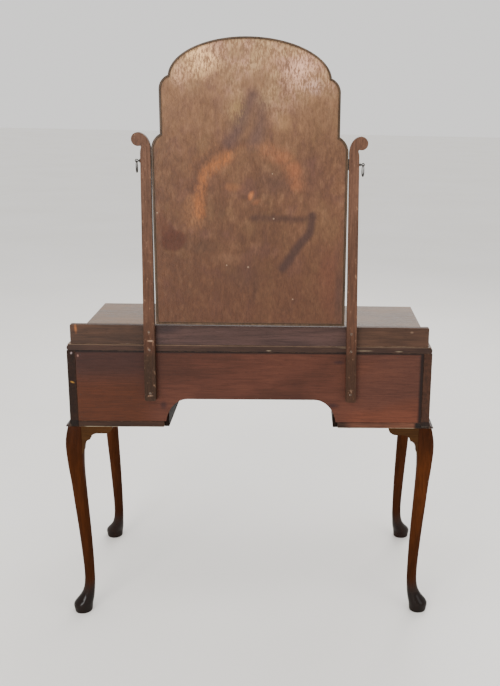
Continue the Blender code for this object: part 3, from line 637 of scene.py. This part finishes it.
def leg_rings(node):
    """(height, x range, y range) of each ring of the frame's leg, top to bottom."""
    levels = {}
    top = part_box("side_panel_right")[0].z
    for vertex in NODES[node].data.vertices:
        if vertex.co.z < top:
            levels.setdefault(round(vertex.co.z, 4), []).append(vertex.co)
    rings = []
    for z in sorted(levels, reverse=True):
        xs, ys = [p.x for p in levels[z]], [p.y for p in levels[z]]
        rings.append((z, min(xs), max(xs), min(ys), max(ys)))
    return rings


def blend_rings(rings, steps):
    """Smooth in-between rings through the given ones."""
    out = []
    for i in range(len(rings) - 1):
        p0, p1 = rings[max(i - 1, 0)], rings[i]
        p2, p3 = rings[i + 1], rings[min(i + 2, len(rings) - 1)]
        for step in range(steps):
            t = step / steps
            out.append(tuple(0.5 * (2 * b + (c - a) * t + (2 * a - 5 * b + 4 * c - d) * t * t
                                    + (3 * b - a - 3 * c + d) * t ** 3)
                             for a, b, c, d in zip(p0, p1, p2, p3)))
    out.append(rings[-1])
    return out


def leg_section(z, x0, x1, y0, y1, top):
    rise = max(0, z - LEG_ROUND_Z) / (top - LEG_ROUND_Z)
    share = 0.5 - LEG_SQUARE * rise * rise
    rx, ry = (x1 - x0) * share, (y1 - y0) * share
    loop = []
    for k in range(LEG_SIDES):
        t = 2 * pi * (k + 0.5) / LEG_SIDES
        cx = x1 - rx if cos(t) > 0 else x0 + rx
        cy = y1 - ry if sin(t) > 0 else y0 + ry
        loop.append((cx + rx * cos(t), cy + ry * sin(t), z))
    return loop


def make_legs(material):
    for end in ENDS:
        for _, word in SIDES:
            node = "leg_%s_%s" % (end, word)
            rings = blend_rings(leg_rings(node), LEG_STEPS)
            loops = [leg_section(*ring, rings[0][0]) for ring in rings]
            piece("cabriole_" + node, lofted(loops), material, node, sharp=50)


def bracket_outline(length, height):
    """Run away from the leg, height below the carcass: two hollows and a round end."""
    lower = arc(BRACKET_STEP, -height, BRACKET_STEP - BRACKET_TIP,
                height - BRACKET_FLAT - BRACKET_RISE, 180, 90, 16)
    upper = arc(BRACKET_STEP + BRACKET_RUN, -BRACKET_FLAT - BRACKET_RISE,
                BRACKET_RUN, BRACKET_RISE, 172, 90, 14)
    end = arc(length - BRACKET_FLAT, 0, BRACKET_FLAT, BRACKET_FLAT, -90, 0, 14)
    taper = [(-BRACKET_ROOT, -height - BRACKET_TAIL), (0, -height - BRACKET_TAIL),
             (0.0016, -height - 0.004)]
    return [(-BRACKET_ROOT, 0)] + taper + lower + upper + end


def make_brackets(material):
    """Knee brackets over the frame's ones, each from its node's box."""
    for end in ENDS:
        for side, word in SIDES:
            for run, way in enumerate(("across", "side")):
                node = "knee_bracket_%s_%s_%s" % (end, word, way)
                low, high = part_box(node)
                to_rear = 1 if end == "rear" else -1
                away, outward = (-to_rear, side) if run else (-side, to_rear)
                start = high[run] if away < 0 else low[run]
                levels = [low[1 - run], high[1 - run]]
                levels[outward > 0] += outward * BRACKET_PROUD
                outline = [(start + away * s, high.z + h)
                           for s, h in bracket_outline(high[run] - low[run], high.z - low.z)]
                loops = [[(level, p, z) if run else (p, level, z) for p, z in outline]
                         for level in levels]
                ease(piece("shaped_" + node, lofted(loops), material, node), BRACKET_EASE)


# ----- carcass details
TOP_STEP, TOP_STEP_H = 0.003, 0.0014  # the small step above the top's nose
TOP_NOSE = 0.0045  # depth of the nose's curve
MOULDING_FILLET, MOULDING_LIP = 0.0015, 0.0038
BEAD_WIDE, BEAD_PROUD = 0.003, 0.0011
SCREW_R, SCREW_X, SCREW_RISE = 0.0036, 0.254, 0.626  # the rise over which they lean
SCREW_ROWS = (0.7955, 0.7495, 0.635)
PIN_COLUMNS, PIN_DROP = (0.052, 0.152, 0.262, 0.372, 0.428), 0.01
STILE_PIN_X, STILE_PIN_ROWS = 0.432, (0.565, 0.625, 0.685)
PIN_PROFILE = ((-0.0004, 0.0011), (0.0001, 0.0011), (0.00035, 0.0007), (0.0004, 0.0002))


def make_top(material, rear_material):
    """Top slab with a small step and a rounded nose on its front and end edges."""
    low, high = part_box("top_board")
    nose = high.z - low.z - TOP_STEP_H - 0.0008
    section = [(TOP_STEP, high.z), (TOP_STEP, high.z - TOP_STEP_H)]
    for k in range(11):
        t = pi * k / 10
        section.append((TOP_NOSE * (1 - sin(t)), low.z + nose * 0.5 * (1 + cos(t))))
    loops = [[(low.x + inset, high.y, z), (low.x + inset, low.y + inset, z),
              (high.x - inset, low.y + inset, z), (high.x - inset, high.y, z)]
             for inset, z in section]
    top = piece("moulded_top", lofted(loops), material, "top_board", sharp=30)
    top.data.materials.append(rear_material)
    for polygon in top.data.polygons:
        if polygon.normal.y > 0.9:
            polygon.material_index = 1


def make_base_mouldings(material):
    """The cavetto round each pedestal with a fine, smooth curve and a small astragal."""
    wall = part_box("kneehole_wall_right")[0].x
    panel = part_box("side_panel_right")[1].x
    for side, word in SIDES:
        low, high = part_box("base_moulding_" + word)
        out = (high.x - low.x) - (panel - wall) - 0.0003
        tall = high.z - low.z
        profile = [(0, tall), (MOULDING_FILLET, tall)]
        profile += [(out - (out - MOULDING_FILLET) * cos(radians(a)), tall - 0.001
                     - (tall - 0.001 - MOULDING_LIP) * sin(radians(a))) for a in range(0, 91, 6)]
        profile += [(out + 0.0004, MOULDING_LIP * 0.8), (out + 0.0004, MOULDING_LIP * 0.2),
                    (out, 0), (0, 0)]
        x_side, y_front = panel + 0.0003, low.y + out
        loops = [[(side * (wall if station == "inner" else x_side + o),
                   high.y if station == "rear" else y_front - o, low.z + up)
                  for o, up in profile] for station in ("rear", "corner", "inner")]
        piece("cavetto_" + word, lofted(loops), material, "base_moulding_" + word, sharp=28)


def screw(name, centre, material, slot_turn):
    """A countersunk slotted screw head, its slot cut into a domed disc."""
    axis = Vector((0, 1, 0))
    across = axis.orthogonal().normalized()
    across = across * cos(slot_turn) + axis.cross(across) * sin(slot_turn)
    other = axis.cross(across)
    centre = Vector(centre)
    slot, deep = SCREW_R * 0.16, SCREW_R * 0.28
    rim = circle(centre - axis * 0.0006, across, other, SCREW_R, 36)
    dome = circle(centre + axis * 0.0004, across, other, SCREW_R * 0.82, 36)
    obj = piece(name, lofted([rim, dome]), material, body="root")
    cutter = bmesh.new()
    for u in (-1, 1):
        for v in (-1, 1):
            for w in (-deep, deep * 3):
                cutter.verts.new(centre + across * u * SCREW_R * 1.3 + other * v * slot + axis * w)
    bmesh.ops.convex_hull(cutter, input=cutter.verts)
    mesh = bpy.data.meshes.new("cutter")
    cutter.to_mesh(mesh)
    cutter.free()
    tool = bpy.data.objects.new("cutter", mesh)
    bpy.context.collection.objects.link(tool)
    cut = obj.modifiers.new("slot", "BOOLEAN")
    cut.operation = "DIFFERENCE"
    cut.object = tool
    bpy.context.view_layer.update()
    with bpy.context.temp_override(object=obj, active_object=obj):
        bpy.ops.object.modifier_apply(modifier=cut.name)
    bpy.data.objects.remove(tool)
    bpy.data.meshes.remove(mesh)


def make_screws(material, dull):
    """Fixing screws: three to a standard, and pins along the back panel's edge."""
    for side, word in SIDES:
        low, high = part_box("mirror_standard_" + word)
        for number, z in enumerate(SCREW_ROWS):
            x = side * (SCREW_X - STANDARD_LEAN * (z - low.z) / SCREW_RISE)
            screw("standard_screw_%s_%d" % (word, number + 1), (x, high.y, z), material,
                  0.5 + number)
    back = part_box("back_panel")[1]
    for side, word in SIDES:
        for number, x in enumerate(PIN_COLUMNS):
            pin("panel_pin_%s_%d" % (word, number + 1), (side * x, back.y, back.z - PIN_DROP), dull)
        for number, z in enumerate(STILE_PIN_ROWS):
            pin("stile_pin_%s_%d" % (word, number + 1), (side * STILE_PIN_X, back.y, z), dull)


def pin(name, centre, material):
    piece(name, lofted(turned(centre, (0, 1, 0), PIN_PROFILE, 16)), material, body="root")


def make_drawer_beads(material):
    """A thin cock bead round each drawer front, proud of it by one millimetre."""
    for word in DRAWERS:
        low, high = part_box("drawer_%s_front" % word)
        profile = [(0, low.y + 0.004), (0, low.y)]
        profile += [(BEAD_WIDE * 0.5 * (1 - cos(radians(a))), low.y - BEAD_PROUD * sin(radians(a)))
                    for a in range(15, 180, 15)]
        profile += [(BEAD_WIDE, low.y), (BEAD_WIDE, low.y + 0.0002)]
        loops = []
        for inset, y in profile:
            grow = 0.0004 - inset
            loops.append([(low.x - grow, y, low.z - grow), (high.x + grow, y, low.z - grow),
                          (high.x + grow, y, high.z + grow), (low.x - grow, y, high.z + grow)])
        piece("drawer_bead_" + word, lofted(loops, cap=False, closed=True), material,
              body="drawer_" + word, sharp=50)


# ----- mirror and standards
MIRROR_MID_W = 0.2128  # half width above the first shoulder
MIRROR_ARCH_W = 0.1914  # half width of the arched head
SHOULDER_Z, SHOULDER_TURN = 1.2795, 60
ARCH_FOOT_Z, ARCH_FOOT_TURN = 1.414, 67
ARCH_CENTRE_Z = 1.408
RIM_T, LIP_W = 0.0045, 0.016  # the frame's rim and the lip over the glass
RIM_EASE = 0.0009
OGEE_W, OGEE_D = 0.0075, 0.003
GLASS_BEVEL, GLASS_EDGE = 0.014, 0.0014
STANDARD_W = 0.0245
STANDARD_INSET = 0.039  # from the scroll's outside to the bar's inner edge
STANDARD_LEAN = 0.006  # how far the bar leans in from its foot to its neck
STANDARD_Z1 = 1.242  # height of the neck
STANDARD_TAPER = 0.07  # length below the neck that keeps its width
SCROLL_R = 0.016
FOOT_OUT = 0.002  # a standard's foot is wider than its neck by this, outwards
FOOT_IN = {"right": 0.0022, "left": 0}
VOLUTE_STEPS = 60


def shoulder(inner, outer, top, turn, inset):
    """Arc from the outer half width up to the inner one, moved inwards by `inset`."""
    radius = (outer - inner) / (1 - cos(radians(turn)))
    cx, cz = outer - radius, top - radius * sin(radians(turn))
    reach = max((inner - inset - cx) / (radius - inset), -0.05)
    points = arc(cx, cz, radius - inset, radius - inset, 0, degrees(acos(reach)), 20)
    return points[:-1] + [(inner - inset, points[-1][1])]


def mirror_outline(inset):
    """Outline of the mirror moved inwards by `inset`; the arcs keep their centres."""
    low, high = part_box("mirror_frame")
    right = [(high.x - inset, low.z + inset)]
    right += shoulder(MIRROR_MID_W, high.x, SHOULDER_Z, SHOULDER_TURN, inset)
    rise = high.z - ARCH_CENTRE_Z
    foot = asin((ARCH_FOOT_Z - ARCH_CENTRE_Z) / rise)
    right += shoulder(MIRROR_ARCH_W * cos(foot), MIRROR_MID_W, ARCH_FOOT_Z, ARCH_FOOT_TURN, inset)
    arch = arc(0, ARCH_CENTRE_Z, MIRROR_ARCH_W - inset, rise - inset,
               degrees(foot), 180 - degrees(foot), 110)
    return right + arch[1:-1] + mirrored(right)


def mirror_piece(name, profile, material, node, sharp, closed=False):
    """A piece with the mirror's outline: (inset, y) pairs of its section."""
    loops = [[(x, y, z) for x, z in mirror_outline(inset)] for inset, y in profile]
    piece(name, lofted(loops, not closed, closed), material, node, sharp=sharp)


def make_mirror(rim, board, glass):
    low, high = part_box("mirror_frame")
    y_front, y_rear = low.y, high.y
    y_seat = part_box("mirror_glass")[0].y - 0.0003
    rear = [(RIM_T, y_rear), (RIM_EASE, y_rear), (RIM_EASE * 0.3, y_rear - RIM_EASE * 0.3),
            (0, y_rear - RIM_EASE)]
    front = [(0, y_front + 0.0025), (0.0007, y_front + 0.0009), (0.0025, y_front)]
    lip, y_lip = LIP_W - OGEE_W, y_front + 0.0012
    ogee = [(lip - 0.001, y_front), (lip, y_lip)]
    ogee += [(lip + OGEE_W * sin(radians(a)), y_lip + OGEE_D * (1 - cos(radians(a))))
             for a in range(15, 91, 15)]
    seat = [(LIP_W, y_seat), (RIM_T, y_seat)]
    mirror_piece("shaped_mirror_frame", rear + front + ogee + seat, rim, "mirror_frame", 32, True)

    low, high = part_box("mirror_back_board")
    play = RIM_T + 0.0005
    profile = [(play, low.y), (play, high.y - 0.0004), (play + 0.0005, high.y)]
    mirror_piece("plywood_back", profile, board, "mirror_back_board", 25)

    low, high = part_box("mirror_glass")
    y_bevel = high.y - GLASS_EDGE
    profile = [(play, high.y), (play, y_bevel), (LIP_W + 0.0005, y_bevel - 0.0002),
               (LIP_W + GLASS_BEVEL, low.y)]
    mirror_piece("bevelled_glass", profile, glass, "mirror_glass", 3)


def standard_outline(low, high, foot_in):
    """Flat bar that leans in slightly, widens to its foot and curls outwards in a scroll."""
    inner = high.x - STANDARD_INSET
    scroll_x, scroll_z = high.x - SCROLL_R, high.z - SCROLL_R
    rise = STANDARD_Z1 - low.z

    def lean(x, z):
        return x - STANDARD_LEAN * max(0, z - low.z) / rise, z

    outer, chamfer, shoulder_z = inner + STANDARD_W, 0.003, STANDARD_Z1 - 0.01
    in_foot, out_foot = inner - foot_in, outer + FOOT_OUT
    foot = [lean(inner, STANDARD_Z1), lean(inner, STANDARD_Z1 - STANDARD_TAPER),
            lean(in_foot, low.z + chamfer), lean(in_foot + chamfer, low.z),
            lean(out_foot - chamfer, low.z), lean(out_foot, low.z + chamfer),
            lean(outer, shoulder_z)]
    neck_x = foot[-1][0]
    neck = [(neck_x - 0.0024 * (k / 8) ** 2, shoulder_z + 0.0146 * k / 8) for k in range(1, 9)]
    curl = arc(scroll_x, scroll_z, SCROLL_R, SCROLL_R, -112, 90, 48)
    back = arc(scroll_x, STANDARD_Z1, scroll_x - foot[0][0], high.z - STANDARD_Z1, 90, 180, 24)
    return foot + neck + curl + back[1:-1]


def make_standards(material):
    for side, word in SIDES:
        node = "mirror_standard_" + word
        low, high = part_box(node)
        if side < 0:
            low, high = Vector((-high.x, low.y, low.z)), Vector((-low.x, high.y, high.z))
        outline = standard_outline(low, high, FOOT_IN[word])
        loops = [[(side * x, y, z) for x, z in outline] for y in (low.y, high.y)]
        ease(piece("scrolled_" + node, lofted(loops), material, node), 0.0013)
        path, radii = [], []
        for k in range(VOLUTE_STEPS):
            t = k / (VOLUTE_STEPS - 1)
            angle, reach = radians(80 - 400 * t), 0.0125 - 0.01 * t
            path.append(Vector((side * (high.x - SCROLL_R + reach * cos(angle)), low.y - 0.0001,
                                high.z - SCROLL_R + reach * sin(angle))))
            radii.append(0.0012 - 0.0005 * t)
        piece("carved_volute_" + word, lofted(tube(path, radii, 12)), material, body="root")


# ----- clamp screws and rings
STEM_R, COLLAR_R = 0.0024, 0.0046
COLLAR_X = 0.262
EYE_R, EYE_WIRE = 0.0032, 0.0011
THREAD_TURNS, THREAD_PITCH, THREAD_DEEP = 26, 0.001, 0.0004
RING_WIDE, RING_WIRE = 0.0062, 0.00085


def make_pivots(material):
    """Clamp screws with a collar and an eye, and the drop rings that hang in them."""
    for side, word in SIDES:
        at = Vector(JOINTS["pivot_screw_%s_turn" % word]["pos_m"])
        low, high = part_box("pivot_screw_" + word)
        start = (low.x if side > 0 else high.x) - at.x
        gap = side * (COLLAR_X - abs(at.x))
        profile = [(start, STEM_R - THREAD_DEEP), (start + side * 0.0006, STEM_R)]
        profile += [(start + side * (0.0012 + k * THREAD_PITCH),
                     STEM_R - (THREAD_DEEP if k % 2 else 0)) for k in range(THREAD_TURNS)]
        profile += [(gap + side * along, radius) for along, radius in (
            (0, STEM_R), (0.0002, COLLAR_R - 0.0006), (0.0005, COLLAR_R), (0.0011, COLLAR_R),
            (0.0014, COLLAR_R - 0.0006), (0.0018, STEM_R * 0.9))]
        profile.append((-side * 0.0029, STEM_R * 0.85))
        bm = lofted(turned(at, (1, 0, 0), profile, 28))
        eye = circle(at, Vector((1, 0, 0)), Vector((0, 0, 1)), EYE_R, 48)
        skin(bm, tube(eye, [EYE_WIRE] * 48, 14, True), False, True)
        piece("clamp_screw_" + word, bm, material, "pivot_screw_" + word)
        make_ring(word, at, material)


def make_ring(word, at, material):
    """An oval wire ring, a little thicker at its foot."""
    along = Vector(JOINTS["drop_ring_%s_swing" % word]["axis"]).normalized()
    low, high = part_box("drop_ring_" + word)
    tall = 0.5 * (high.z - low.z) - 0.0008
    path, radii = [], []
    for k in range(72):
        t = 2 * pi * k / 72
        path.append(at + along * RING_WIDE * sin(t) + Vector((0, 0, tall * (cos(t) - 1))))
        radii.append(RING_WIRE + RING_WIRE * (1 - cos(t)) / 2)
    piece("hanging_ring_" + word, lofted(tube(path, radii, 16, True), False, True), material,
          "drop_ring_" + word)


# ----- drawer handles
PLATE_LOBE, PLATE_THICK, PLATE_WAIST = 0.009, 0.0014, 0.0165
# rings of the plate's section: how far in, and how deep as a share of its thickness
PLATE_SECTION = ((0, 0), (0, 0.5), (0.0005, 0.9), (0.0012, 1), (0.0022, 0.8), (0.003, 0.8))
POST_X = 0.03
POST_PROFILE = [(0.0009, 0.0048), (0.0018, 0.0048), (0.0024, 0.0036), (0.0034, 0.0028),
                (0.0048, 0.0031), (0.0056, 0.004), (0.0082, 0.0044), (0.0104, 0.0038)]
BAIL_R, BAIL_SWELL, BAIL_BEND = 0.00155, 0.0008, 0.004


def make_handles(material):
    for node in [name for name in NODES if name.startswith("handle_plate_")]:
        word = node[len("handle_plate_"):]
        at = Vector(JOINTS["bail_%s_swing" % word]["pos_m"])
        make_plate(word, node, at, material)
        make_bail(word, at, material)


def make_plate(word, node, at, material):
    """A shaped and bevelled back plate with two turned posts."""
    low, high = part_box(node)
    x, z, y = (low.x + high.x) / 2, (low.z + high.z) / 2, high.y
    half_w, half_h = (high.x - low.x) / 2, (high.z - low.z) / 2

    def ring(shrink, depth):
        waist, lobe = PLATE_WAIST - shrink * 0.4, PLATE_LOBE - shrink
        right = [(waist, -half_h + shrink), *arc(half_w - PLATE_LOBE, 0, lobe, lobe, -70, 70, 18),
                 (waist, half_h - shrink)]
        return [(x + px, y - depth * PLATE_THICK, z + pz) for px, pz in right + mirrored(right)]

    bm = lofted([ring(*row) for row in PLATE_SECTION])
    tip = y - low.y
    for side in (1, -1):
        skin(bm, turned((x + side * POST_X, y, at.z), (0, -1, 0),
                        POST_PROFILE + [(tip - 0.0008, 0.0022), (tip, 0.0006)], 28))
    piece("brass_plate_" + word, bm, material, node, sharp=40)


def make_bail(word, at, material):
    """A swan-necked bail, thicker in the grip."""
    node = "bail_" + word
    low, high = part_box(node)
    reach, drop = (high.x - low.x) / 2 - 0.0016, at.z - low.z - 0.0016
    half = [(0.032, 0), (0.0335, 0)]
    half += arc(reach - BAIL_BEND, -BAIL_BEND, BAIL_BEND, BAIL_BEND, 85, 0, 8)
    half += arc(reach - 0.016, -drop + 0.012, 0.016, 0.012, -5, -90, 16)
    path = [at + Vector((px, 0, pz)) for px, pz in half + mirrored(half)]
    radii = []
    for point in path:
        grip = max(0, 1 - abs(point.x - at.x) / reach) if point.z < at.z - drop * 0.5 else 0
        radii.append(BAIL_R + BAIL_SWELL * grip ** 0.7)
    piece("brass_bail_" + word, lofted(tube(path, radii, 18)), material, node)


# ----- finishes of the nodes
def make_finishes():
    """Shade, spread, roughness, coat, shine and seed of each wood, and what sets it apart."""
    bare = dict(wear=0.3, wear_colour=rgb(110, 76, 44))
    return {
        "legs": wood("leg_mahogany", "z", (63, 31, 11), 0.22, 0.3, leg_polish, 0, 1,
                     wear=0.25, paint=leg_tones, figure=(70, 9), streak=(300, 30),
                     pores=0.2, blotch=0.2, relief=0.00008, sheen=0.14),
        "brackets": wood("bracket_mahogany", "x", (60, 38, 19), 0.16, 0.34, 0.08, 0, 2,
                         wear=0.25, pores=0.2, blotch=0.2, figure=(70, 9)),
        "moulding": wood("moulding_mahogany", "x", (34, 20, 15), 0.35, 0.35, 0.08, 0.22, 3,
                         wear=0.9),
        "top": wood("top_mahogany", "x", (86, 57, 26), 0.3, 0.3, 0.2, 0.26, 4, wear=0.6),
        "top_rear": wood("top_rear_mahogany", "x", (50, 33, 26), 0.28, 0.5, 0.02, 0.16, 18,
                         wear=0.6, paint=slab_marks),
        "gallery": wood("gallery_mahogany", "x", (60, 40, 29), 0.28, 0.48, 0.03, 0.18, 5,
                        wear=0.9, paint=gallery_marks),
        "panel": wood("panel_mahogany", "x", (67, 37, 27), 0.16, 0.48, 0.02, 0.14, 6,
                      wear=0.4, paint=panel_tones, figure=(190, 16)),
        "side_right": wood("right_end_mahogany", "y", (31, 16, 9), 0.35, 0.38, end_polish, 0.1,
                           7, wear=0.6, paint=stile_marks),
        "side_left": wood("left_end_mahogany", "y", (46, 26, 16), 0.35, 0.38, end_polish, 0.14,
                          8, wear=0.6, paint=stile_marks),
        # Near-black wood for the kneehole's inside: painted shade over its dark mahogany.
        "inner": wood("kneehole_shade_mahogany", "y", (21, 12, 8), 0.35, 0.6, 0, 0.05, 9),
        "strip": wood("strip_mahogany", "x", (48, 28, 17), 0.3, 0.48, 0.02, 0.15, 10,
                      wear=0.8, paint=strip_marks),
        "standards": wood("standard_mahogany", "z", (92, 64, 49), 0.22, 0.5, 0.01, 0.13, 11,
                          wear=0.5, paint=standard_tones, figure=(150, 14)),
        "rim": wood("rim_brown", "z", (72, 56, 42), 0.35, 0.44, 0.04, 0.18, 12, wear=0.5),
        "plywood": wood("mirror_plywood", "z", (87, 58, 40), 0.15, 0.46, 0.02, 0.2, 13,
                        figure=(150, 60), streak=(460, 150), pores=0.15, blotch=0.14,
                        paint=plywood_stains),
        "drawer_front": wood("drawer_front_mahogany", "x", (80, 38, 20), 0.35, 0.26, 0.3,
                             0.35, 14, wear=0.4, figure=(60, 5)),
        "apron": wood("apron_mahogany", "x", (66, 32, 17), 0.32, 0.28, 0.25, 0.32, 15, wear=0.5),
        "drawer_x": wood("drawer_wood_across", "x", (146, 106, 66), 0.22, 0.6, 0, 0.25,
                         16, **bare),
        "drawer_y": wood("drawer_wood_along", "y", (146, 106, 66), 0.22, 0.6, 0, 0.25,
                         17, **bare),
        "steel": metal("oxidised_steel", (18, 16, 14), (44, 38, 32), 0.52, 0.35),
        "screws": metal("rubbed_steel", (56, 44, 36), (112, 96, 84), 0.5, 0.5),
        "brass": metal("aged_brass", (134, 98, 50), (168, 130, 72), 0.3),
        "glass": silvered_glass(),
    }


def dress_frame(made):
    """The CAD nodes that stay visible get their finish."""
    plan = {"gallery_board": "gallery", "back_panel": "panel", "kneehole_ceiling": "inner",
            "front_apron": "apron"}
    for _, word in SIDES:
        plan["side_panel_" + word] = "side_" + word
        plan["kneehole_wall_" + word] = "inner"
        plan["pedestal_bottom_" + word] = "strip"
        plan["pivot_plate_" + word] = "steel"
    for word in DRAWERS:
        plan["drawer_%s_front" % word] = "drawer_front"
        plan["drawer_%s_back" % word] = "drawer_x"
        for part in ("side_left", "side_right", "bottom"):
            plan["drawer_%s_%s" % (word, part)] = "drawer_y"
    for node, look in plan.items():
        slots = NODES[node].data.materials
        slots.clear()
        slots.append(made[look])


def main():
    make_camera()
    make_studio()
    made = make_finishes()
    dress_frame(made)
    make_legs(made["legs"])
    make_brackets(made["brackets"])
    make_top(made["top"], made["top_rear"])
    make_base_mouldings(made["moulding"])
    make_mirror(made["rim"], made["plywood"], made["glass"])
    make_standards(made["standards"])
    make_pivots(made["steel"])
    make_screws(made["screws"], made["steel"])
    make_drawer_beads(made["apron"])
    make_handles(made["brass"])


main()
